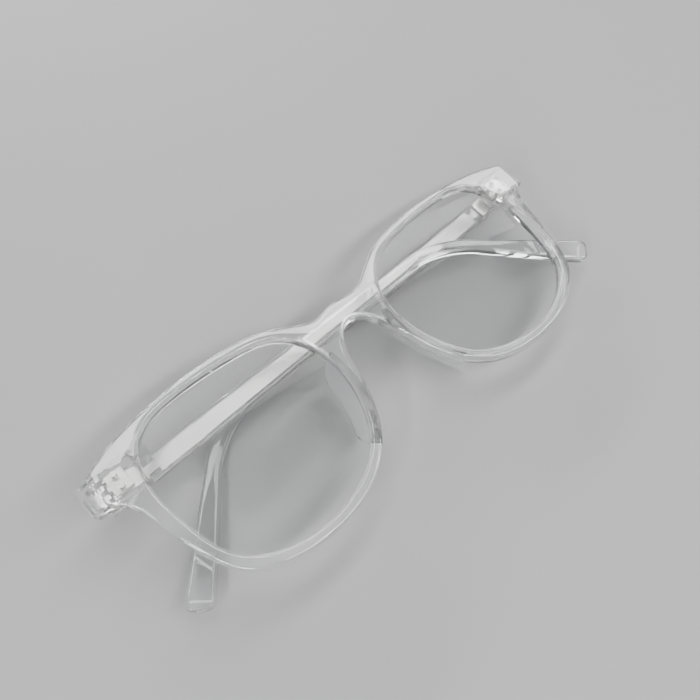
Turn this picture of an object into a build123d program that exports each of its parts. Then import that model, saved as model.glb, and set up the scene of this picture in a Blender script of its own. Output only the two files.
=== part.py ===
"""Folded eyeglasses in clear plastic, with wire-core temples on five-barrel hinges.

Everything is laid out in the front's own frame: x along its width (the wearer's left is +x),
y up to the brow, and depth behind its flat face. FRONT places that frame in the room, where the
glasses lie folded on a table, face up, resting on the outer temple.
"""
import os
from math import cos, radians, sin

from build123d import *

os.makedirs("parts", exist_ok=True)

# where the front lies over the table: middle of its face, then its two small tilts
FRONT_X, FRONT_Y, FRONT_HEIGHT = 0.2, -0.3, 14.16
TILT_X, TILT_Y = 4.72, 2.33

# front
LENS_CENTRE = 36.0  # from the middle of the bridge to each lens centre
LENS_HALF = 23.5  # mean half width of a lens opening
FRONT_THICKNESS = 4.0
OPENING_ROUND = 0.5
BRIDGE_LOW_Y, BRIDGE_HIGH_Y = 10.8, 17.3
END_FRONT_X, END_BACK_X = 70.6, 74.2  # the endpieces bevel outwards behind their face
END_LOW_Y, END_HIGH_Y = 11.7, 19.8
END_BEVEL_DEPTH, END_DEPTH = 3.2, 6.4
NOTCH = (67.2, 8.8)  # where the rim meets the slant under the endpiece

# lenses
LENS_RADIUS = 260.0
LENS_THICKNESS = 1.3
LENS_VERTEX_DEPTH = 0.1
POLES_ASIDE = (90, 0, 0)  # keeps the poles of the lens spheres off the lens
GROOVE_DEPTH = 0.6
GROOVE_CLEARANCE = 0.1

# nose pads: middle line of the root on the rim and of the thin edge behind it, as (x, y)
PAD_ROOT = ((9.4, 7.0), (10.3, -5.0), (16.4, -16.0))
PAD_EDGE = ((11.9, 4.0), (13.2, -4.0), (16.0, -11.0))
PAD_ROOT_WIDTH, PAD_EDGE_WIDTH = 2.6, 1.3
PAD_EDGE_DEPTH = 12.6

# hinges: the pin stands beside the temple's inner face, behind the endpiece
PIN_X, PIN_DEPTH = 69.4, 8.4
HINGE_Y = 15.7
BARRELS = 5
BARREL_RADIUS, BARREL_HEIGHT, BARREL_GAP = 1.5, 1.2, 0.05
BARREL_PITCH = BARREL_HEIGHT + BARREL_GAP
STACK_HEIGHT = BARRELS * BARREL_PITCH - BARREL_GAP
BARREL_POCKET = BARREL_RADIUS + 0.3
SCREW_RADIUS, PIN_CLEARANCE = 0.6, 0.05
HEAD_RADIUS, HEAD_HEIGHT = 1.15, 0.6
SLOT_WIDTH, SLOT_DEPTH, SLOT_TURN = 0.35, 0.25, 35
LEAF_HEIGHT = 5.2
PLATE_INNER_X, PLATE_OUTER_X = 63.4, 67.8
PLATE_DEPTH, PLATE_BACK = 5.6, 7.3
STUD_X, STUD_SPACING, STUD_RADIUS, STUD_LENGTH = 65.5, 3.2, 0.7, 2.4

# temples, in their own frame: s along the temple from the pin, y up, t outwards from the pin
BUTT_S = -1.9
INNER_T = 1.2
TEMPLE_THICKNESS = 2.8
HINGE_HALF, BEND_HALF, TIP_HALF = 3.5, 2.1, 3.6
BEND_S, BEND_RADIUS, EAR_ANGLE, EAR_LENGTH = 96.0, 30.0, 47.0, 31.0
TIP_ROUND = 2.4
EAR_CURVE_START = BEND_S - 4
EAR_CURVE_RADIUS = 245.0  # the ear end also curves in towards the head

# steel core in each temple, held by the step of the temple hinge
CORE_T, CORE_THICKNESS = 2.35, 0.7
CORE_START, BLADE_START, BLADE_END, CORE_END = 9.5, 12.5, 25.0, 102.0
NECK_HALF, BLADE_HALF, CORE_END_HALF = 1.1, 2.3, 0.9
TOOTH_PITCH, TOOTH_DEPTH = 0.6, 0.25
GROOVES, GROOVE_PITCH, GROOVE_WIDTH, GROOVE_CUT = 4, 0.75, 0.3, 0.2
LEAF_T0, LEAF_T1, LEAF_START, STEP_START = 0.9, 1.9, 2.0, 7.5

# folded angle of each temple away from the front: the wearer's right one lies against the
# front, the left one crosses outside it
RIGHT, LEFT = -1, 1
SIDES = (RIGHT, LEFT)
FOLD_ANGLE = {RIGHT: -0.8, LEFT: 2.4}
SIDE_NAME = {RIGHT: "right", LEFT: "left"}

FRONT = Plane(Location((FRONT_X, FRONT_Y, FRONT_HEIGHT), (TILT_X, TILT_Y, 0)))
FACING = Axis(FRONT.origin, FRONT.z_dir)
MIDDLE = Plane(FRONT.origin, x_dir=FRONT.y_dir, z_dir=FRONT.x_dir)


def plan_plane(y):
    """Plan view at height y: sketches there are drawn in (x, depth)."""
    return Plane(FRONT.origin, x_dir=FRONT.x_dir, z_dir=FRONT.y_dir).offset(y)


def pin_point(side):
    return FRONT.from_local_coords((side * PIN_X, HINGE_Y, -PIN_DEPTH))


def temple_direction(side):
    """Way the folded temple runs from its pin, across the back of the front."""
    angle = radians(FOLD_ANGLE[side])
    return FRONT.x_dir * (-side * cos(angle)) - FRONT.z_dir * sin(angle)


def temple_plan(side, y):
    """Plan of a folded temple at height y over its middle: (s, -side * t)."""
    return Plane(pin_point(side), x_dir=temple_direction(side), z_dir=FRONT.y_dir).offset(y)


def temple_profile(side, t=0.0):
    """Side view of a folded temple, in (s, y), at t outwards from the pin."""
    along = temple_direction(side)
    outwards = along.cross(FRONT.y_dir) * side
    return Plane(pin_point(side) + outwards * t, x_dir=along, z_dir=along.cross(FRONT.y_dir))


def lens_outline(side, grow=0.0):
    """Soft square lens shape, squarer at the temple side, scaled up by about grow all round."""
    scale_up = 1 + grow / LENS_HALF
    outwards_and_up = [
        (24.6, 0), (25.0, 10.7), (20.0, 20.2), (8, 22.9), (-7.2, 22.0), (-18.4, 18.5),
        (-24.3, 8.9), (-23.9, -4), (-16.5, -16.9), (-4.8, -21.9), (10.6, -20.8), (19.9, -14.6),
    ]
    with BuildSketch() as outline:
        with BuildLine():
            Spline(
                [(side * (LENS_CENTRE + x * scale_up), y * scale_up) for x, y in outwards_and_up],
                periodic=True,
            )
        make_face()
    return outline.sketch


def make_lens(side, grow, spare=0.0):
    """Meniscus cut to the lens shape, thicker by spare on each face."""
    back_radius = LENS_RADIUS - LENS_THICKNESS - spare
    with BuildPart(FRONT) as lens:
        with BuildSketch(FRONT.offset(1)):
            add(lens_outline(side, grow))
        extrude(amount=-FRONT_THICKNESS - 2)
        with Locations((side * LENS_CENTRE, 0, -LENS_VERTEX_DEPTH - LENS_RADIUS)):
            Sphere(LENS_RADIUS + spare, rotation=POLES_ASIDE, mode=Mode.INTERSECT)
            Sphere(back_radius, rotation=POLES_ASIDE, mode=Mode.SUBTRACT)
    return lens


def barrel_y(index):
    """Height of a barrel's lower face over the middle of the hinge."""
    return -STACK_HEIGHT / 2 + index * BARREL_PITCH


def make_front_hinge(side):
    """Plate let into the endpiece, with two anchor studs and the three outer barrels."""
    stud_y = (HINGE_Y - STUD_SPACING / 2, HINGE_Y + STUD_SPACING / 2)
    with BuildPart() as hinge:
        with BuildSketch(plan_plane(HINGE_Y - LEAF_HEIGHT / 2)):
            with BuildLine():
                Polyline(
                    (side * PLATE_INNER_X, PLATE_DEPTH), (side * PLATE_INNER_X, PLATE_BACK - 0.5),
                    (side * (PLATE_INNER_X + 0.8), PLATE_BACK), (side * PLATE_OUTER_X, PLATE_BACK),
                    (side * PLATE_OUTER_X, PLATE_DEPTH), close=True,
                )
            make_face()
        extrude(amount=LEAF_HEIGHT)
        with BuildSketch(FRONT.offset(-PLATE_DEPTH)):
            with Locations(*[(side * STUD_X, y) for y in stud_y]):
                Circle(STUD_RADIUS)
        extrude(amount=STUD_LENGTH)
        for index in range(0, BARRELS, 2):
            with BuildSketch(plan_plane(HINGE_Y + barrel_y(index))):
                with Locations((side * PIN_X, PIN_DEPTH)):
                    Circle(BARREL_RADIUS)
                with BuildLine():
                    Polyline(
                        (side * (PLATE_OUTER_X - 0.8), END_DEPTH + 0.1),
                        (side * (PLATE_OUTER_X - 0.8), PLATE_BACK),
                        (side * (PIN_X - 1.0), PIN_DEPTH + 0.6), (side * PIN_X, PIN_DEPTH),
                        (side * (PIN_X + 0.4), END_DEPTH + 0.6),
                        (side * (PIN_X - 1.0), END_DEPTH + 0.1), close=True,
                    )
                make_face()
            extrude(amount=BARREL_HEIGHT)
        with BuildSketch(plan_plane(HINGE_Y - STACK_HEIGHT)):
            with Locations((side * PIN_X, PIN_DEPTH)):
                Circle(SCREW_RADIUS + PIN_CLEARANCE)
        extrude(amount=2 * STACK_HEIGHT, mode=Mode.SUBTRACT)
    return hinge


def make_temple_hinge(side):
    """Leaf let into the temple, stepping down to the core, with the two inner barrels."""
    core_face = CORE_T + CORE_THICKNESS
    with BuildPart() as hinge:
        with BuildSketch(temple_plan(side, -LEAF_HEIGHT / 2)):
            with BuildLine():
                Polyline(
                    (LEAF_START, -side * LEAF_T0), (CORE_START, -side * LEAF_T0),
                    (CORE_START, -side * core_face), (STEP_START, -side * core_face),
                    (STEP_START, -side * LEAF_T1), (LEAF_START, -side * LEAF_T1), close=True,
                )
            make_face()
        extrude(amount=LEAF_HEIGHT)
        for index in range(1, BARRELS, 2):
            with BuildSketch(temple_plan(side, barrel_y(index))):
                Circle(BARREL_RADIUS)
                with BuildLine():
                    Polyline(
                        (0, 0), (0, -side * (BARREL_RADIUS - 0.05)), (0.6, -side * LEAF_T1),
                        (LEAF_START + 0.2, -side * LEAF_T1), (LEAF_START + 0.2, -side * LEAF_T0),
                        (BARREL_RADIUS - 0.3, 0), close=True,
                    )
                make_face()
            extrude(amount=BARREL_HEIGHT)
        with BuildSketch(temple_plan(side, -STACK_HEIGHT)):
            Circle(SCREW_RADIUS + PIN_CLEARANCE)
        extrude(amount=2 * STACK_HEIGHT, mode=Mode.SUBTRACT)
    return hinge


def make_screw(side):
    """Slotted hinge screw through all five barrels."""
    head_y = HINGE_Y + STACK_HEIGHT / 2
    with BuildPart() as screw:
        with BuildSketch(plan_plane(HINGE_Y - STACK_HEIGHT / 2 - 0.3)):
            with Locations((side * PIN_X, PIN_DEPTH)):
                Circle(SCREW_RADIUS)
        extrude(amount=STACK_HEIGHT + 0.4)
        with BuildSketch(plan_plane(head_y)):
            with Locations((side * PIN_X, PIN_DEPTH)):
                Circle(HEAD_RADIUS)
        extrude(amount=HEAD_HEIGHT)
        with BuildSketch(plan_plane(head_y + HEAD_HEIGHT)):
            with Locations(Location((side * PIN_X, PIN_DEPTH), SLOT_TURN)):
                Rectangle(2 * HEAD_RADIUS + 0.3, SLOT_WIDTH)
        extrude(amount=-SLOT_DEPTH, mode=Mode.SUBTRACT)
    return screw


def make_core(side):
    """Flat steel core: a neck, a blade with serrated edges, then a long even taper."""
    teeth = round((BLADE_END - BLADE_START) / TOOTH_PITCH)
    upper = [(CORE_START, NECK_HALF), (BLADE_START, NECK_HALF)]
    for tooth in range(teeth):
        s = BLADE_START + tooth * TOOTH_PITCH
        upper += [(s, BLADE_HALF - TOOTH_DEPTH), (s + TOOTH_PITCH / 2, BLADE_HALF)]
    upper += [(BLADE_END, BLADE_HALF - TOOTH_DEPTH), (CORE_END, CORE_END_HALF)]
    lower = [(s, -y) for s, y in reversed(upper)]
    groove_s = [BLADE_END + 1 + GROOVE_PITCH * n for n in range(GROOVES)]
    with BuildPart() as core:
        with BuildSketch(temple_profile(side, CORE_T)):
            with BuildLine():
                Polyline(*upper, *lower, close=True)
            make_face()
        extrude(amount=side * CORE_THICKNESS)
        with BuildSketch(temple_profile(side, CORE_T)):
            with Locations(*[(s, 0) for s in groove_s]):
                Rectangle(GROOVE_WIDTH, 2 * BLADE_HALF + 1)
        extrude(amount=side * GROOVE_CUT, mode=Mode.SUBTRACT)
    return core


def temple_face_line(side, t, length):
    """Plan line of one temple face: straight, then a gentle arc towards the head."""
    centre = Vector(EAR_CURVE_START, side * (EAR_CURVE_RADIUS - t))
    sweep = (length - EAR_CURVE_START) / EAR_CURVE_RADIUS
    middle = centre + Vector(sin(sweep / 2), -side * cos(sweep / 2)) * EAR_CURVE_RADIUS
    end = centre + Vector(sin(sweep), -side * cos(sweep)) * EAR_CURVE_RADIUS
    start, turn = (BUTT_S, -side * t), (EAR_CURVE_START, -side * t)
    Line(start, turn)
    ThreePointArc(turn, middle, end)
    return start, end


def make_temple(side, hinge, core):
    """Clear temple: side view and plan crossed, so the ear end drops and also curves in."""
    bend = radians(EAR_ANGLE)
    ear_way = Vector(cos(bend), -sin(bend))
    ear_up = Vector(sin(bend), cos(bend))
    half_bend = Vector(sin(bend / 2), cos(bend / 2))
    bend_centre = Vector(BEND_S, -BEND_RADIUS)
    tip = bend_centre + ear_up * BEND_RADIUS + ear_way * EAR_LENGTH
    outer_t = INNER_T + TEMPLE_THICKNESS
    with BuildPart() as temple:
        with BuildSketch(temple_profile(side)) as side_view:
            with BuildLine():
                for half_sign in (1, -1):
                    butt = (BUTT_S, half_sign * HINGE_HALF)
                    bend_start = (BEND_S, half_sign * BEND_HALF)
                    radius = BEND_RADIUS + half_sign * BEND_HALF
                    ear_start = bend_centre + ear_up * radius
                    Line(butt, bend_start)
                    ThreePointArc(bend_start, bend_centre + half_bend * radius, ear_start)
                    Line(ear_start, tip + ear_up * (half_sign * TIP_HALF))
                Line((BUTT_S, HINGE_HALF), (BUTT_S, -HINGE_HALF))
                Line(tip + ear_up * TIP_HALF, tip - ear_up * TIP_HALF)
            make_face()
            fillet(side_view.vertices().sort_by(Axis.X)[-2:], TIP_ROUND)
        extrude(amount=12, both=True)
        with BuildSketch(temple_plan(side, -45)):
            with BuildLine():
                inner_start, inner_end = temple_face_line(side, INNER_T, tip.X + 8)
                outer_start, outer_end = temple_face_line(side, outer_t, tip.X + 8)
                Line(inner_start, outer_start)
                Line(inner_end, outer_end)
            make_face()
        extrude(amount=60, mode=Mode.INTERSECT)
        fillet(temple.faces().sort_by(SortBy.AREA)[-1].outer_wire().edges(), 0.7)
        with BuildSketch(temple_plan(side, -8)):
            Circle(BARREL_POCKET)
        extrude(amount=16, mode=Mode.SUBTRACT)
        add(hinge, mode=Mode.SUBTRACT)
        add(core, mode=Mode.SUBTRACT)
    return temple


def make_pad(side):
    """Leaf-shaped nose pad: a curved root on the back of the rim, a thin edge behind it."""
    root = ThreePointArc(*[(side * x, y) for x, y in PAD_ROOT])
    edge = ThreePointArc(*[(side * x, y) for x, y in PAD_EDGE])
    with BuildPart() as pad:
        with BuildSketch(FRONT.offset(-FRONT_THICKNESS)):
            SlotArc(root, PAD_ROOT_WIDTH)
        with BuildSketch(FRONT.offset(-PAD_EDGE_DEPTH)):
            SlotArc(edge, PAD_EDGE_WIDTH)
        loft()
    return pad


front_hinges = {side: make_front_hinge(side) for side in SIDES}
lens_seats = {side: make_lens(side, GROOVE_DEPTH, GROOVE_CLEARANCE) for side in SIDES}

# front: one flat piece with both rims, the saddle bridge and the two endpieces
with BuildPart() as frame_front:
    with BuildSketch(FRONT):
        with BuildLine():
            Line((0, BRIDGE_LOW_Y), (0, BRIDGE_HIGH_Y))
            Spline(
                (0, BRIDGE_HIGH_Y), (7, 16.6), (12, 18.8), (19.5, 22.7), (28, 24.7), (36, 25.4),
                (46, 25.3), (56, 24.1), (64, 22.3), (END_FRONT_X, END_HIGH_Y),
                tangents=[(1, 0), (0.93, -0.36)],
            )
            Line((END_FRONT_X, END_HIGH_Y), (END_FRONT_X - 0.4, END_LOW_Y))
            Line((END_FRONT_X - 0.4, END_LOW_Y), NOTCH)
            Spline(
                NOTCH, (65.2, 4.6), (64.3, 0), (62.2, -8), (58, -17), (50, -22.7),
                (36, -25.2), (22.3, -22.2), (13.2, -13.9), (9, -4.5), (6.6, 3.5), (4.2, 8.4),
                (0, BRIDGE_LOW_Y),
                tangents=[(-0.6, -1), (-1, 0)],
            )
        make_face()
        add(lens_outline(LEFT), mode=Mode.SUBTRACT)
    extrude(amount=-FRONT_THICKNESS)
    fillet(faces().sort_by(FACING)[-1].inner_wires()[0].edges(), OPENING_ROUND)
    with BuildSketch(plan_plane(END_LOW_Y)):
        with BuildLine():
            Polyline(
                (60.5, 3.0), (62.8, END_DEPTH), (END_BACK_X, END_DEPTH),
                (END_BACK_X, END_BEVEL_DEPTH), (END_FRONT_X - 0.2, 0.6), (66.0, 0.6), close=True,
            )
        make_face()
    extrude(amount=END_HIGH_Y - END_LOW_Y)
    mirror(about=MIDDLE)
    for side in SIDES:
        add(front_hinges[side].part, mode=Mode.SUBTRACT)
        add(lens_seats[side].part, mode=Mode.SUBTRACT)
frame_front.part.label = "frame_front"
export_step(frame_front.part, "parts/frame_front.step")

for side in SIDES:
    name = SIDE_NAME[side]

    front_hinge = front_hinges[side]
    front_hinge.part.label = f"front_hinge_{name}"
    export_step(front_hinge.part, f"parts/front_hinge_{name}.step")

    lens = make_lens(side, GROOVE_DEPTH - GROOVE_CLEARANCE)
    lens.part.label = f"lens_{name}"
    export_step(lens.part, f"parts/lens_{name}.step")

    nose_pad = make_pad(side)
    nose_pad.part.label = f"nose_pad_{name}"
    export_step(nose_pad.part, f"parts/nose_pad_{name}.step")

    screw = make_screw(side)
    screw.part.label = f"hinge_screw_{name}"
    export_step(screw.part, f"parts/hinge_screw_{name}.step")

    temple_hinge = make_temple_hinge(side)
    temple_hinge.part.label = f"temple_hinge_{name}"
    export_step(temple_hinge.part, f"parts/temple_hinge_{name}.step")

    core = make_core(side)
    core.part.label = f"temple_core_{name}"
    export_step(core.part, f"parts/temple_core_{name}.step")

    temple = make_temple(side, temple_hinge.part, core.part)
    temple.part.label = f"temple_{name}"
    export_step(temple.part, f"parts/temple_{name}.step")
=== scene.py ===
"""Looks for the folded clear-plastic eyeglasses: rounded clear front and temples, polished
lenses, steel hinges and cores, on a pale studio floor."""

import math

import bpy
import numpy as np
from mathutils import Matrix, Vector, geometry


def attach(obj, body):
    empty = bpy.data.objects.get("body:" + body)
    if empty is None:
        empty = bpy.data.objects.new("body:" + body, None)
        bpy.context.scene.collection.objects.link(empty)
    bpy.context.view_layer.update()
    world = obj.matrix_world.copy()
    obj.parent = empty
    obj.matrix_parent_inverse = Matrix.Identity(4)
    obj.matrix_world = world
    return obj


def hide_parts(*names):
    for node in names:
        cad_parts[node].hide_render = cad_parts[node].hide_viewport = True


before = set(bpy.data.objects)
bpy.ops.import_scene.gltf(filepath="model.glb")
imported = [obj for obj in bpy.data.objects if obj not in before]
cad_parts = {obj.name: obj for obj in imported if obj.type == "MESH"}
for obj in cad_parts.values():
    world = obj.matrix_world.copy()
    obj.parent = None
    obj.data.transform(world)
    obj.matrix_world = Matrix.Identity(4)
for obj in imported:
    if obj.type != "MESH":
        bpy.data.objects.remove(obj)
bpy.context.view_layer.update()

# ---------------------------------------------------------------- sizes, in millimetres
MM = 0.001
RIGHT, LEFT = -1, 1
SIDE_NAME = {RIGHT: "right", LEFT: "left"}

# the front: where its own frame lies in the room, tilted in degrees, and its plate
FRONT_ORIGIN, FRONT_TILT_X, FRONT_TILT_Y = (0.2, -0.3, 14.16), 4.72, 2.33
FRONT_THICKNESS, FRONT_EDGE = 4.0, 0.95
BRIDGE_LOW_Y, BRIDGE_HIGH_Y = 10.8, 17.3

# endpieces: where they end, their slant, and the block behind each with its flare
END_FRONT_X, END_BACK_X, END_LOW_Y, END_HIGH_Y = 70.6, 74.2, 11.7, 19.8
END_BEVEL_DEPTH, END_DEPTH = 3.2, 6.4
END_SLANT, END_ROUND = 0.4, 1.4
NOTCH, NOTCH_ROUND = (67.2, 8.8), 1.6
BLOCK_ROOT_X, BLOCK_FACE_DEPTH, BLOCK_FLARE_LENGTH = 60.5, 0.4, 8.0
BLOCK_SET_BACK_LOW, BLOCK_SET_BACK_HIGH = 0.2, 0.1
BLOCK_ROUND, BLOCK_EDGE = 1.3, 0.7
BLOCK_LEVELS = np.arange(1.4, 5.4, 0.4)

# lenses
LENS_CENTRE, LENS_RADIUS, LENS_THICKNESS, LENS_VERTEX_DEPTH = 36.0, 260.0, 1.3, 0.1
LENS_GAP, LENS_RINGS = 0.04, 14

# nose pads: three points along the root in the rim and along the free edge
PAD_ROOT = ((9.4, 7.0), (10.3, -5.0), (16.4, -16.0))
PAD_EDGE = ((11.9, 4.0), (13.2, -4.0), (16.0, -11.0))
PAD_ROOT_WIDTH, PAD_EDGE_WIDTH, PAD_RIDGE_WIDTH = 2.2, 1.3, 0.05
PAD_START, PAD_EDGE_DEPTH = 3.0, 12.6
PAD_SLOPE = 0.4  # how much of the narrowing of the pad's ends is even, the rest being round

# temples: s runs along one from its hinge pin, t outwards, half widths are up and down
PIN_X, PIN_DEPTH, HINGE_Y, BARREL_POCKET = 69.4, 8.4, 15.7, 1.8
BUTT_S, INNER_T, TEMPLE_THICKNESS = -1.9, 1.2, 2.8
HINGE_HALF, BEND_HALF, TIP_HALF = 3.5, 2.1, 3.6
BEND_S, BEND_RADIUS, EAR_ANGLE, EAR_LENGTH = 96.0, 30.0, math.radians(47), 31.0
EAR_CURVE_START, EAR_CURVE_RADIUS = 92.0, 245.0
TEMPLE_ROUND, TIP_ROUND, BUTT_ROUND = 1.1, 2.4, 0.5
TIP_THINNING, BUTT_THINNING = 0.42, 0.5
ROUND_OF_HALF, ROUND_OF_THICKNESS = 0.9, 0.45  # the most that rounded edges may take up
FOLD_ANGLE = {RIGHT: math.radians(-0.8), LEFT: math.radians(2.4)}

# how finely the shapes are drawn
CURVE_STEP, MITRE_LIMIT, SAME_POINT = 0.7, 0.5, 1e-6
CORNER_POINTS, EDGE_STEPS, SLOT_END_POINTS, SECTION_CORNER_POINTS = 6, 5, 9, 7
PAD_LINE_POINTS, PAD_RINGS, PAD_EDGE_RINGS = 30, 18, 6
POCKET_STATIONS = np.arange(-1.2, 3.0, 0.3)
TEMPLE_STATION_START, TEMPLE_STATION_STEP = 3.0, 1.0
BUTT_STATIONS, TIP_STATIONS = 5, 10
SMOOTH_ANGLE = math.radians(35)

TURN = Matrix.Rotation(math.radians(FRONT_TILT_X), 4, "X") @ Matrix.Rotation(
    math.radians(FRONT_TILT_Y), 4, "Y"
)
FRONT = Matrix.Translation(Vector(FRONT_ORIGIN) * MM) @ TURN @ Matrix.Scale(MM, 4)
X_DIR, Y_DIR, Z_DIR = (TURN.to_3x3().col[i].copy() for i in range(3))


# ---------------------------------------------------------------- shapes
def smooth_curve(points, closed=False, ends=None):
    """Points along the smooth cubic spline through the given ones, about CURVE_STEP apart."""
    p = np.array(points, float)
    if closed:
        p = np.vstack([p, p[:1]])
    h = np.linalg.norm(np.diff(p, axis=0), axis=1)
    n = len(p)
    a = np.zeros((n, n))
    b = np.zeros((n, 2))
    for i in range(1, n - 1):
        a[i, i - 1 : i + 2] = h[i], 2 * (h[i - 1] + h[i]), h[i - 1]
        b[i] = 3 * (h[i] * (p[i] - p[i - 1]) / h[i - 1] + h[i - 1] * (p[i + 1] - p[i]) / h[i])
    if closed:
        a[0, 0], a[0, n - 1] = 1, -1
        a[n - 1, 0], a[n - 1, 1] = 2 / h[0], 1 / h[0]
        a[n - 1, n - 2], a[n - 1, n - 1] = 1 / h[-1], 2 / h[-1]
        b[n - 1] = 3 * ((p[1] - p[0]) / h[0] ** 2 + (p[-1] - p[-2]) / h[-1] ** 2)
    else:
        a[0, 0] = a[n - 1, n - 1] = 1
        b[0], b[n - 1] = (np.array(e, float) / np.linalg.norm(e) for e in ends)
    m = np.linalg.solve(a, b)
    out = []
    for i in range(n - 1):
        count = max(2, round(h[i] / CURVE_STEP))
        for u in np.arange(count) / count:
            out.append(
                (2 * u**3 - 3 * u**2 + 1) * p[i] + (u**3 - 2 * u**2 + u) * h[i] * m[i]
                + (3 * u**2 - 2 * u**3) * p[i + 1] + (u**3 - u**2) * h[i] * m[i + 1]
            )
    if not closed:
        out.append(p[-1])
    return np.array(out)


def arc(points, count):
    """Even points on the circle through three points, from the first to the last."""
    (ax, ay), (bx, by), (cx, cy) = points
    d = 2 * (ax * (by - cy) + bx * (cy - ay) + cx * (ay - by))
    ux = ((ax**2 + ay**2) * (by - cy) + (bx**2 + by**2) * (cy - ay) + (cx**2 + cy**2) * (ay - by)) / d
    uy = ((ax**2 + ay**2) * (cx - bx) + (bx**2 + by**2) * (ax - cx) + (cx**2 + cy**2) * (bx - ax)) / d
    start, end = math.atan2(ay - uy, ax - ux), math.atan2(cy - uy, cx - ux)
    end += 2 * math.pi * round((start - end) / (2 * math.pi))
    turn = np.linspace(start, end, count)
    radius = math.hypot(ax - ux, ay - uy)
    return np.stack([ux + radius * np.cos(turn), uy + radius * np.sin(turn)], axis=1)


def lens_loop(side):
    """Soft square lens opening, squarer at the temple side."""
    outwards_and_up = [
        (24.6, 0), (25.0, 10.7), (20.0, 20.2), (8, 22.9), (-7.2, 22.0), (-18.4, 18.5),
        (-24.3, 8.9), (-23.9, -4), (-16.5, -16.9), (-4.8, -21.9), (10.6, -20.8), (19.9, -14.6),
    ]
    return smooth_curve([(side * (LENS_CENTRE + x), y) for x, y in outwards_and_up], closed=True)


def rounded_corner(before, corner, after, radius):
    """Short arc in place of a corner of the outline."""
    b, c, a = (np.array(q, float) for q in (before, corner, after))
    u, v = (b - c) / np.linalg.norm(b - c), (a - c) / np.linalg.norm(a - c)
    half = math.acos(np.clip(u @ v, -1, 1)) / 2
    reach = radius / math.tan(half)
    middle = c + (u + v) / np.linalg.norm(u + v) * (radius / math.sin(half) - radius)
    return arc([c + u * reach, middle, c + v * reach], CORNER_POINTS)


def front_outline():
    """Outer outline of the whole front, both halves."""
    end_top, end_low = (END_FRONT_X, END_HIGH_Y), (END_FRONT_X - END_SLANT, END_LOW_Y)
    top = smooth_curve(
        [(0, BRIDGE_HIGH_Y), (7, 16.6), (12, 18.8), (19.5, 22.7), (28, 24.7), (36, 25.4),
         (46, 25.3), (56, 24.1), (64, 22.3), end_top],
        ends=[(1, 0), (0.93, -0.36)],
    )
    low = smooth_curve(
        [NOTCH, (65.2, 4.6), (64.3, 0), (62.2, -8), (58, -17), (50, -22.7),
         (36, -25.2), (22.3, -22.2), (13.2, -13.9), (9, -4.5), (6.6, 3.5), (4.2, 8.4),
         (0, BRIDGE_LOW_Y)],
        ends=[(-0.6, -1), (-1, 0)],
    )
    # the last points of the top and the first of the low side give way to rounded corners
    half = np.vstack([
        top[:-3],
        rounded_corner(top[-4], end_top, end_low, END_ROUND),
        rounded_corner(end_top, end_low, NOTCH, END_ROUND),
        rounded_corner(end_low, NOTCH, low[4], NOTCH_ROUND),
        low[5:],
    ])
    return np.vstack([half[1:-1][::-1] * (-1, 1), half[:1], half[1:-1], half[-1:]])[::-1]


def inset(loop, amount):
    """Loop moved towards the inside of the plastic (its left side), mitred at its corners."""
    ahead, behind = np.roll(loop, -1, axis=0) - loop, loop - np.roll(loop, 1, axis=0)
    ahead /= np.linalg.norm(ahead, axis=1)[:, None]
    behind /= np.linalg.norm(behind, axis=1)[:, None]
    normal = np.stack([-(ahead + behind)[:, 1], (ahead + behind)[:, 0]], axis=1)
    normal /= np.linalg.norm(normal, axis=1)[:, None]
    along = np.stack([-ahead[:, 1], ahead[:, 0]], axis=1)
    return loop + normal * amount / np.maximum((normal * along).sum(axis=1), MITRE_LIMIT)[:, None]


def anticlockwise(loop):
    x, y = loop[:, 0], loop[:, 1]
    area = (x @ np.roll(y, -1) - y @ np.roll(x, -1)) / 2
    return loop if area > 0 else loop[::-1]


def in_plastic(q, starts, stops):
    """Whether a ray from the point crosses the loops' edges an odd number of times."""
    spans = (starts[:, 1] > q[1]) != (stops[:, 1] > q[1])
    a, b = starts[spans], stops[spans]
    crossings = a[:, 0] + (q[1] - a[:, 1]) * (b[:, 0] - a[:, 0]) / (b[:, 1] - a[:, 1])
    return (crossings > q[0]).sum() % 2 == 1


def cap_faces(verts, rings, facing):
    """Triangles that close a plate at one end, leaving its holes open."""
    order = [index for ring in rings for index in ring]
    flat = [Vector(verts[index][:2]) for index in order]
    edges, first = [], 0
    for ring in rings:
        edges += [(first + i, first + (i + 1) % len(ring)) for i in range(len(ring))]
        first += len(ring)
    mesh = geometry.delaunay_2d_cdt(flat, edges, [], 0, SAME_POINT)
    tiles, sources = mesh[2], mesh[3]
    starts, stops = (np.array([flat[edge[k]] for edge in edges]) for k in (0, 1))
    faces = []
    for tile in tiles:
        a, b, c = (sources[k][0] for k in tile)
        if not in_plastic((flat[a] + flat[b] + flat[c]) / 3, starts, stops):
            continue
        turned = (flat[b] - flat[a]).cross(flat[c] - flat[a]) * facing > 0
        faces.append((order[a], order[b], order[c]) if turned else (order[a], order[c], order[b]))
    return faces


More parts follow.
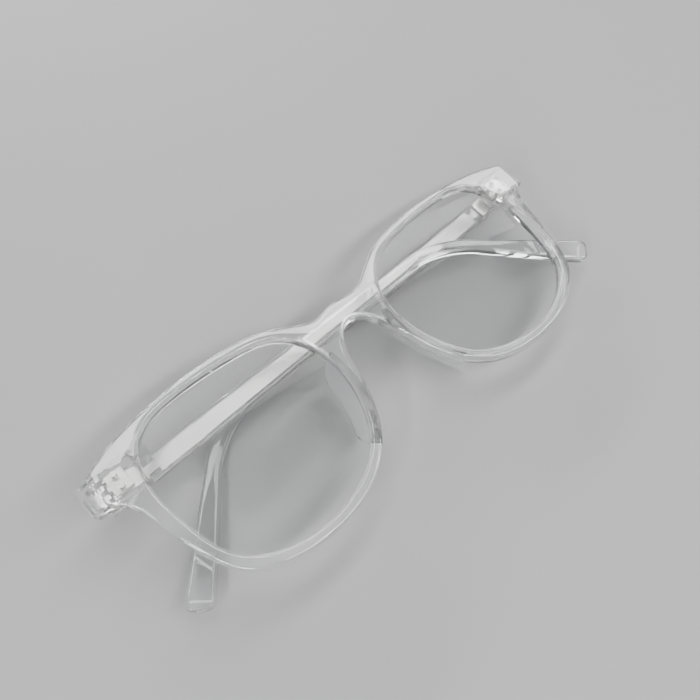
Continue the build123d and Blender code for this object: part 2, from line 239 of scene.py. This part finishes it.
def plate(loops, depth_0, depth_1, edge, between=()):
    """Closed plate between two depths with rounded edges: its vertices and faces. The first
    loop is the outline, the others are holes."""
    wound = [anticlockwise(loops[0])] + [anticlockwise(hole)[::-1] for hole in loops[1:]]
    turn = np.linspace(0, math.pi / 2, EDGE_STEPS + 1)
    levels = [(depth_0 + edge * (1 - math.sin(t)), edge * (1 - math.cos(t))) for t in turn[::-1]]
    levels += [(depth, 0) for depth in between]
    levels += [(depth_1 - edge * (1 - math.sin(t)), edge * (1 - math.cos(t))) for t in turn]
    verts, faces, near_rings, far_rings = [], [], [], []
    for loop in wound:
        first = len(verts)
        count = len(loop)
        for depth, amount in levels:
            verts += [(x, y, -depth) for x, y in inset(loop, amount)]
        for k in range(len(levels) - 1):
            a, b = first + k * count, first + (k + 1) * count
            for i in range(count):
                j = (i + 1) % count
                faces.append((a + i, b + i, b + j, a + j))
        near_rings.append(range(first, first + count))
        last = first + (len(levels) - 1) * count
        far_rings.append(range(last, last + count))
    return verts, faces + cap_faces(verts, near_rings, 1) + cap_faces(verts, far_rings, -1)


def slot_loop(line, width):
    """Loop around a line at half the width, with round ends."""
    ahead = np.gradient(line, axis=0)
    ahead /= np.linalg.norm(ahead, axis=1)[:, None]
    side = np.stack([-ahead[:, 1], ahead[:, 0]], axis=1) * width / 2
    turn = np.linspace(0, math.pi, SLOT_END_POINTS)[1:-1, None]
    end = line[-1] + side[-1] * np.cos(turn) + ahead[-1] * width / 2 * np.sin(turn)
    start = line[0] - side[0] * np.cos(turn) - ahead[0] * width / 2 * np.sin(turn)
    return np.vstack([line + side, end, (line - side)[::-1], start])


def loft(rings):
    """Closed skin through rings of equally many points."""
    verts = [tuple(q) for ring in rings for q in ring]
    count = len(rings[0])
    faces = [tuple(range(count))[::-1], tuple(range(len(verts) - count, len(verts)))]
    for k in range(len(rings) - 1):
        for i in range(count):
            j = (i + 1) % count
            faces.append((k * count + i, k * count + j, (k + 1) * count + j, (k + 1) * count + i))
    return verts, faces


def make_object(name, shape, matrix=FRONT):
    verts, faces = shape
    mesh = bpy.data.meshes.new(name)
    mesh.from_pydata([matrix @ Vector(v) for v in verts], [], faces)
    mesh.validate()
    made = bpy.data.objects.new(name, mesh)
    bpy.context.scene.collection.objects.link(made)
    bpy.context.view_layer.objects.active = made
    made.select_set(True)
    bpy.ops.object.mode_set(mode="EDIT")
    bpy.ops.mesh.select_all(action="SELECT")
    bpy.ops.mesh.normals_make_consistent(inside=False)
    bpy.ops.object.mode_set(mode="OBJECT")
    made.select_set(False)
    shade(made)
    return made


def shade(made):
    """Smooth shading that keeps the flat faces flat beside their rounded edges."""
    bpy.context.view_layer.objects.active = made
    made.select_set(True)
    bpy.ops.object.shade_smooth_by_angle(angle=SMOOTH_ANGLE)
    weight = made.modifiers.new("flat_faces", "WEIGHTED_NORMAL")
    weight.keep_sharp = True
    bpy.ops.object.modifier_apply(modifier=weight.name)
    made.select_set(False)


def unite(base, others):
    """Joins closed pieces of the same plastic into one skin."""
    for other in others:
        cut = base.modifiers.new("unite", "BOOLEAN")
        cut.operation, cut.solver, cut.object = "UNION", "EXACT", other
    bpy.context.view_layer.update()
    mesh = bpy.data.meshes.new_from_object(base.evaluated_get(bpy.context.evaluated_depsgraph_get()))
    base.modifiers.clear()
    base.data = mesh
    for other in others:
        bpy.data.objects.remove(other)
    shade(base)


def endpiece(side):
    """Endpiece block, its end flaring outwards towards the back."""
    corners = [
        (BLOCK_ROOT_X, END_LOW_Y), (END_FRONT_X - BLOCK_SET_BACK_LOW, END_LOW_Y),
        (END_FRONT_X - BLOCK_SET_BACK_HIGH, END_HIGH_Y), (BLOCK_ROOT_X, END_HIGH_Y),
    ]
    loop = np.vstack([
        rounded_corner(corners[k - 1], corners[k], corners[(k + 1) % 4], BLOCK_ROUND)
        for k in range(4)
    ])
    verts, faces = plate([loop], BLOCK_FACE_DEPTH, END_DEPTH, BLOCK_EDGE, BLOCK_LEVELS)
    moved = []
    for x, y, z in verts:
        behind = max(0, -z - BLOCK_FACE_DEPTH) / (END_BEVEL_DEPTH - BLOCK_FACE_DEPTH)
        along = max(0, (x - BLOCK_ROOT_X) / BLOCK_FLARE_LENGTH)
        flare = (END_BACK_X - END_FRONT_X) * min(1, behind) * min(1, along)
        moved.append((side * (x + flare), y, z))
    return moved, faces


def pad_loop(side, line, width):
    return slot_loop(arc([(side * x, y) for x, y in line], PAD_LINE_POINTS), width)


def nose_pad(side):
    """Leaf-shaped pad, rooted in the rim, with a rounded free edge."""
    root = pad_loop(side, PAD_ROOT, PAD_ROOT_WIDTH)
    edge = pad_loop(side, PAD_EDGE, PAD_EDGE_WIDTH)
    ridge = pad_loop(side, PAD_EDGE, PAD_RIDGE_WIDTH)
    last = PAD_EDGE_DEPTH - PAD_EDGE_WIDTH / 2
    rings = []
    for u in np.linspace(0, 1, PAD_RINGS):
        taper = PAD_SLOPE * u + (1 - PAD_SLOPE) * (1 - math.sqrt(1 - u**2))
        x = root[:, 0] * (1 - u) + edge[:, 0] * u
        y = root[:, 1] * (1 - taper) + edge[:, 1] * taper
        depth = PAD_START + (last - PAD_START) * u
        rings.append(np.column_stack([x, y, np.full(len(root), -depth)]))
    for t in np.linspace(0, math.pi / 2, PAD_EDGE_RINGS)[1:]:
        ring = ridge + (edge - ridge) * math.cos(t)
        depth = last + PAD_EDGE_WIDTH / 2 * math.sin(t)
        rings.append(np.column_stack([ring, np.full(len(ring), -depth)]))
    return loft(rings)


def lens(side):
    """Meniscus filling the opening of its rim: two domed faces and the wall between them."""
    loop = inset(anticlockwise(lens_loop(side)), LENS_GAP)
    centre = np.array([side * LENS_CENTRE, 0.0])
    count = len(loop)
    back = 1 + LENS_RINGS * count
    rim = 1 + (LENS_RINGS - 1) * count
    verts, faces = [], []
    for radius, vertex in (
        (LENS_RADIUS, LENS_VERTEX_DEPTH),
        (LENS_RADIUS - LENS_THICKNESS, LENS_VERTEX_DEPTH + LENS_THICKNESS),
    ):
        verts.append((centre[0], centre[1], -vertex))
        for k in range(1, LENS_RINGS + 1):
            for q in centre + (loop - centre) * k / LENS_RINGS:
                depth = vertex + radius - math.sqrt(radius**2 - ((q - centre) ** 2).sum())
                verts.append((q[0], q[1], -depth))
    for first, flip in ((0, False), (back, True)):
        for i in range(count):
            j = (i + 1) % count
            new = [(first, first + 1 + i, first + 1 + j)]
            for k in range(LENS_RINGS - 1):
                a, b = first + 1 + k * count, first + 1 + (k + 1) * count
                new.append((a + i, b + i, b + j, a + j))
            faces += [face[::-1] for face in new] if flip else new
    for i in range(count):
        j = (i + 1) % count
        faces.append((rim + i, back + rim + i, back + rim + j, rim + j))
    return verts, faces


def temple_matrix(side):
    """Frame of a folded temple: s along it from the pin, y up, t outwards."""
    angle = FOLD_ANGLE[side]
    along = X_DIR * (-side * math.cos(angle)) - Z_DIR * math.sin(angle)
    outwards = along.cross(Y_DIR) * side
    pin = FRONT @ Vector((side * PIN_X, HINGE_Y, -PIN_DEPTH))
    turn = Matrix((along, Y_DIR, outwards)).transposed().to_4x4()
    return Matrix.Translation(pin) @ turn @ Matrix.Scale(MM, 4)


def round_off(radius, from_end):
    """How far a rounded end draws the sides in at a distance from the end."""
    return radius - math.sqrt(max(radius**2 - (radius - from_end) ** 2, 0))


def temple():
    """Clear temple with a rounded section: rings of (s, y, t)."""
    bend_end = BEND_S + BEND_RADIUS * EAR_ANGLE
    total = bend_end + EAR_LENGTH
    butt_turn = np.linspace(0, math.pi / 2, BUTT_STATIONS)
    tip_turn = np.linspace(0, math.pi / 2, TIP_STATIONS)
    stations = [BUTT_S + BUTT_ROUND * (1 - math.cos(t)) for t in butt_turn]
    stations += list(POCKET_STATIONS)
    stations += list(np.arange(TEMPLE_STATION_START, total - TIP_ROUND, TEMPLE_STATION_STEP))
    stations += [total - TIP_ROUND * (1 - math.sin(t)) for t in tip_turn]
    rings = []
    for q in stations:
        turn = min(max(q - BEND_S, 0) / BEND_RADIUS, EAR_ANGLE)
        past_bend = max(q - bend_end, 0)
        s = min(q, BEND_S) + BEND_RADIUS * math.sin(turn) + past_bend * math.cos(turn)
        y = -BEND_RADIUS * (1 - math.cos(turn)) - past_bend * math.sin(turn)
        half = float(np.interp(
            q, (BUTT_S, BEND_S, bend_end, total), (HINGE_HALF, BEND_HALF, BEND_HALF, TIP_HALF)
        ))
        inner, outer = INNER_T, INNER_T + TEMPLE_THICKNESS
        if abs(q) < BARREL_POCKET:
            inner = max(inner, math.sqrt(BARREL_POCKET**2 - q * q))
        if total - q < TIP_ROUND:
            cut = round_off(TIP_ROUND, total - q)
            half, inner, outer = half - cut, inner + TIP_THINNING * cut, outer - TIP_THINNING * cut
        if q - BUTT_S < BUTT_ROUND:
            cut = round_off(BUTT_ROUND, q - BUTT_S)
            half, inner, outer = half - cut, inner + BUTT_THINNING * cut, outer - cut
        curve = max(s - EAR_CURVE_START, 0)
        inwards = EAR_CURVE_RADIUS - math.sqrt(EAR_CURVE_RADIUS**2 - curve**2)
        radius = min(TEMPLE_ROUND, half * ROUND_OF_HALF, (outer - inner) * ROUND_OF_THICKNESS)
        t_mid, t_half = (inner + outer) / 2, (outer - inner) / 2
        points = []
        for k, (sy, st) in enumerate(((1, 1), (-1, 1), (-1, -1), (1, -1))):
            corner = np.linspace(0, math.pi / 2, SECTION_CORNER_POINTS)
            for phi in corner if k % 2 == 0 else corner[::-1]:
                across = sy * (half - radius + radius * math.cos(phi))
                out = t_mid + st * (t_half - radius + radius * math.sin(phi)) - inwards
                points.append((s + across * math.sin(turn), y + across * math.cos(turn), out))
        rings.append(points)
    return loft(rings)


# ---------------------------------------------------------------- materials
def material(name):
    made = bpy.data.materials.new(name)
    made.use_nodes = True
    return made, made.node_tree.nodes, made.node_tree.links, made.node_tree.nodes["Principled BSDF"]


def clear_plastic(name, tint, clarity, ior, roughness, ripple):
    """Polished clear plastic: faint moulding ripple and a fine haze on its surface."""
    made, nodes, links, shader = material(name)
    shader.inputs["Base Color"].default_value = (*tint, 1)
    shader.inputs["Transmission Weight"].default_value = clarity
    shader.inputs["IOR"].default_value = ior
    coords = nodes.new("ShaderNodeTexCoord")
    haze = nodes.new("ShaderNodeTexNoise")
    haze.inputs["Scale"].default_value = 900
    haze.inputs["Detail"].default_value = 4
    links.new(coords.outputs["Object"], haze.inputs["Vector"])
    level = nodes.new("ShaderNodeMapRange")
    level.inputs["From Min"].default_value = 0.35
    level.inputs["From Max"].default_value = 0.75
    level.inputs["To Min"].default_value = roughness * 0.5
    level.inputs["To Max"].default_value = roughness * 1.5
    links.new(haze.outputs["Fac"], level.inputs["Value"])
    links.new(level.outputs["Result"], shader.inputs["Roughness"])
    waves = nodes.new("ShaderNodeTexNoise")
    waves.inputs["Scale"].default_value = 160
    waves.inputs["Detail"].default_value = 1
    links.new(coords.outputs["Object"], waves.inputs["Vector"])
    bump = nodes.new("ShaderNodeBump")
    bump.inputs["Strength"].default_value = ripple
    bump.inputs["Distance"].default_value = 0.0004
    links.new(waves.outputs["Fac"], bump.inputs["Height"])
    links.new(bump.outputs["Normal"], shader.inputs["Normal"])
    return made


def metal(name, colour, roughness, grain):
    """Rolled or turned metal: fine drawn grain, uneven polish."""
    made, nodes, links, shader = material(name)
    shader.inputs["Metallic"].default_value = 1.0
    coords = nodes.new("ShaderNodeTexCoord")
    stretch = nodes.new("ShaderNodeMapping")
    stretch.inputs["Scale"].default_value = grain
    links.new(coords.outputs["Object"], stretch.inputs["Vector"])
    lines = nodes.new("ShaderNodeTexNoise")
    lines.inputs["Scale"].default_value = 1.0
    lines.inputs["Detail"].default_value = 5
    links.new(stretch.outputs["Vector"], lines.inputs["Vector"])
    tone = nodes.new("ShaderNodeValToRGB")
    tone.color_ramp.elements[0].position = 0.3
    tone.color_ramp.elements[0].color = (*[c * 0.78 for c in colour], 1)
    tone.color_ramp.elements[1].position = 0.7
    tone.color_ramp.elements[1].color = (*colour, 1)
    links.new(lines.outputs["Fac"], tone.inputs["Fac"])
    links.new(tone.outputs["Color"], shader.inputs["Base Color"])
    level = nodes.new("ShaderNodeMapRange")
    level.inputs["To Min"].default_value = roughness * 0.7
    level.inputs["To Max"].default_value = roughness * 1.4
    links.new(lines.outputs["Fac"], level.inputs["Value"])
    links.new(level.outputs["Result"], shader.inputs["Roughness"])
    bump = nodes.new("ShaderNodeBump")
    bump.inputs["Strength"].default_value = 0.06
    bump.inputs["Distance"].default_value = 0.00005
    links.new(lines.outputs["Fac"], bump.inputs["Height"])
    links.new(bump.outputs["Normal"], shader.inputs["Normal"])
    return made


def dress(piece, look):
    piece.data.materials.clear()
    piece.data.materials.append(look)


plastic = clear_plastic(
    "clear_plastic_look", tint=(0.98, 0.985, 0.99), clarity=0.95, ior=1.5, roughness=0.02, ripple=0.05
)
lens_look = clear_plastic(
    "lens_look", tint=(0.995, 0.998, 1.0), clarity=1.0, ior=1.12, roughness=0.004, ripple=0.0
)
hinge_look = metal(
    "hinge_metal_look", colour=(0.82, 0.81, 0.79), roughness=0.30, grain=(900, 2600, 900)
)
core_look = metal(
    "core_metal_look", colour=(0.93, 0.92, 0.90), roughness=0.36, grain=(300, 5000, 5000)
)

# ---------------------------------------------------------------- the glasses
rims = [front_outline(), lens_loop(RIGHT), lens_loop(LEFT)]
front = make_object("front_skin", plate(rims, 0, FRONT_THICKNESS, FRONT_EDGE))
unite(front, [
    make_object(f"{part.__name__}_{SIDE_NAME[side]}", part(side))
    for side in (RIGHT, LEFT) for part in (endpiece, nose_pad)
])
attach(front, "front")
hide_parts("frame_front", "nose_pad_right", "nose_pad_left")
dress(front, plastic)

for side in (RIGHT, LEFT):
    name = SIDE_NAME[side]

    lens_piece = make_object(f"lens_skin_{name}", lens(side))
    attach(lens_piece, "front")
    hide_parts(f"lens_{name}")
    dress(lens_piece, lens_look)

    arm = make_object(f"temple_skin_{name}", temple(), temple_matrix(side))
    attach(arm, f"temple_{name}")
    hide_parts(f"temple_{name}")
    dress(arm, plastic)

    dress(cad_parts[f"temple_core_{name}"], core_look)
    for node in ("front_hinge", "temple_hinge", "hinge_screw"):
        dress(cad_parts[f"{node}_{name}"], hinge_look)

# ---------------------------------------------------------------- floor, light and camera
FLOOR_HALF = 3.0
floor_mesh = bpy.data.meshes.new("floor")
floor_corners = [(x * FLOOR_HALF, y * FLOOR_HALF, 0) for x, y in ((-1, -1), (1, -1), (1, 1), (-1, 1))]
floor_mesh.from_pydata(floor_corners, [], [(0, 1, 2, 3)])
floor = bpy.data.objects.new("floor", floor_mesh)
bpy.context.scene.collection.objects.link(floor)
floor_look, _, _, shader = material("floor_look")
shader.inputs["Base Color"].default_value = (0.2, 0.2, 0.2, 1)
shader.inputs["Roughness"].default_value = 0.75
dress(floor, floor_look)

world = bpy.data.worlds.new("studio")
bpy.context.scene.world = world
world.use_nodes = True
world.node_tree.nodes["Background"].inputs["Color"].default_value = (0.9, 0.92, 0.95, 1)
world.node_tree.nodes["Background"].inputs["Strength"].default_value = 0.04


def area_light(name, place, size, power):
    """Rectangular light at a place in metres, facing the glasses, its width along world X."""
    lamp = bpy.data.lights.new(name, "AREA")
    lamp.shape, lamp.size, lamp.size_y, lamp.energy = "RECTANGLE", size[0], size[1], power
    made = bpy.data.objects.new(name, lamp)
    bpy.context.scene.collection.objects.link(made)
    away = Vector(place).normalized()
    across = (Vector((1, 0, 0)) - away * away.x).normalized()
    turn = Matrix((across, away.cross(across), away)).transposed().to_4x4()
    made.matrix_world = Matrix.Translation(place) @ turn


area_light("key_light", (0.27, 0.25, 0.60), (0.85, 0.14), 6.5)
area_light("front_light", (0.20, -0.34, 0.50), (0.75, 0.08), 8)
area_light("back_strip", (0.10, 0.55, 0.20), (0.6, 0.04), 5)
area_light("left_strip", (-0.44, -0.24, 0.24), (0.04, 0.6), 6)

# the camera in the front's own millimetres: where it is, where it looks and its roll
CAMERA_PLACE, CAMERA_AIM = Vector((-60.49, -33.78, 133.82)), Vector((-6.0, 4.28, 0.0))
CAMERA_ROLL = math.radians(12.75)
ahead = (CAMERA_AIM - CAMERA_PLACE).normalized()
level = ahead.cross(Vector((0, 0, 1))).normalized()
across = Matrix.Rotation(CAMERA_ROLL, 3, -ahead) @ level
view = bpy.data.cameras.new("camera")
view.lens, view.sensor_width, view.clip_start = 31.2, 36.0, 0.005
camera = bpy.data.objects.new("camera", view)
bpy.context.scene.collection.objects.link(camera)
look = Matrix((across, across.cross(ahead), -ahead)).transposed().to_4x4()
camera.matrix_world = Matrix.Translation(FRONT @ CAMERA_PLACE) @ TURN @ look
bpy.context.scene.camera = camera
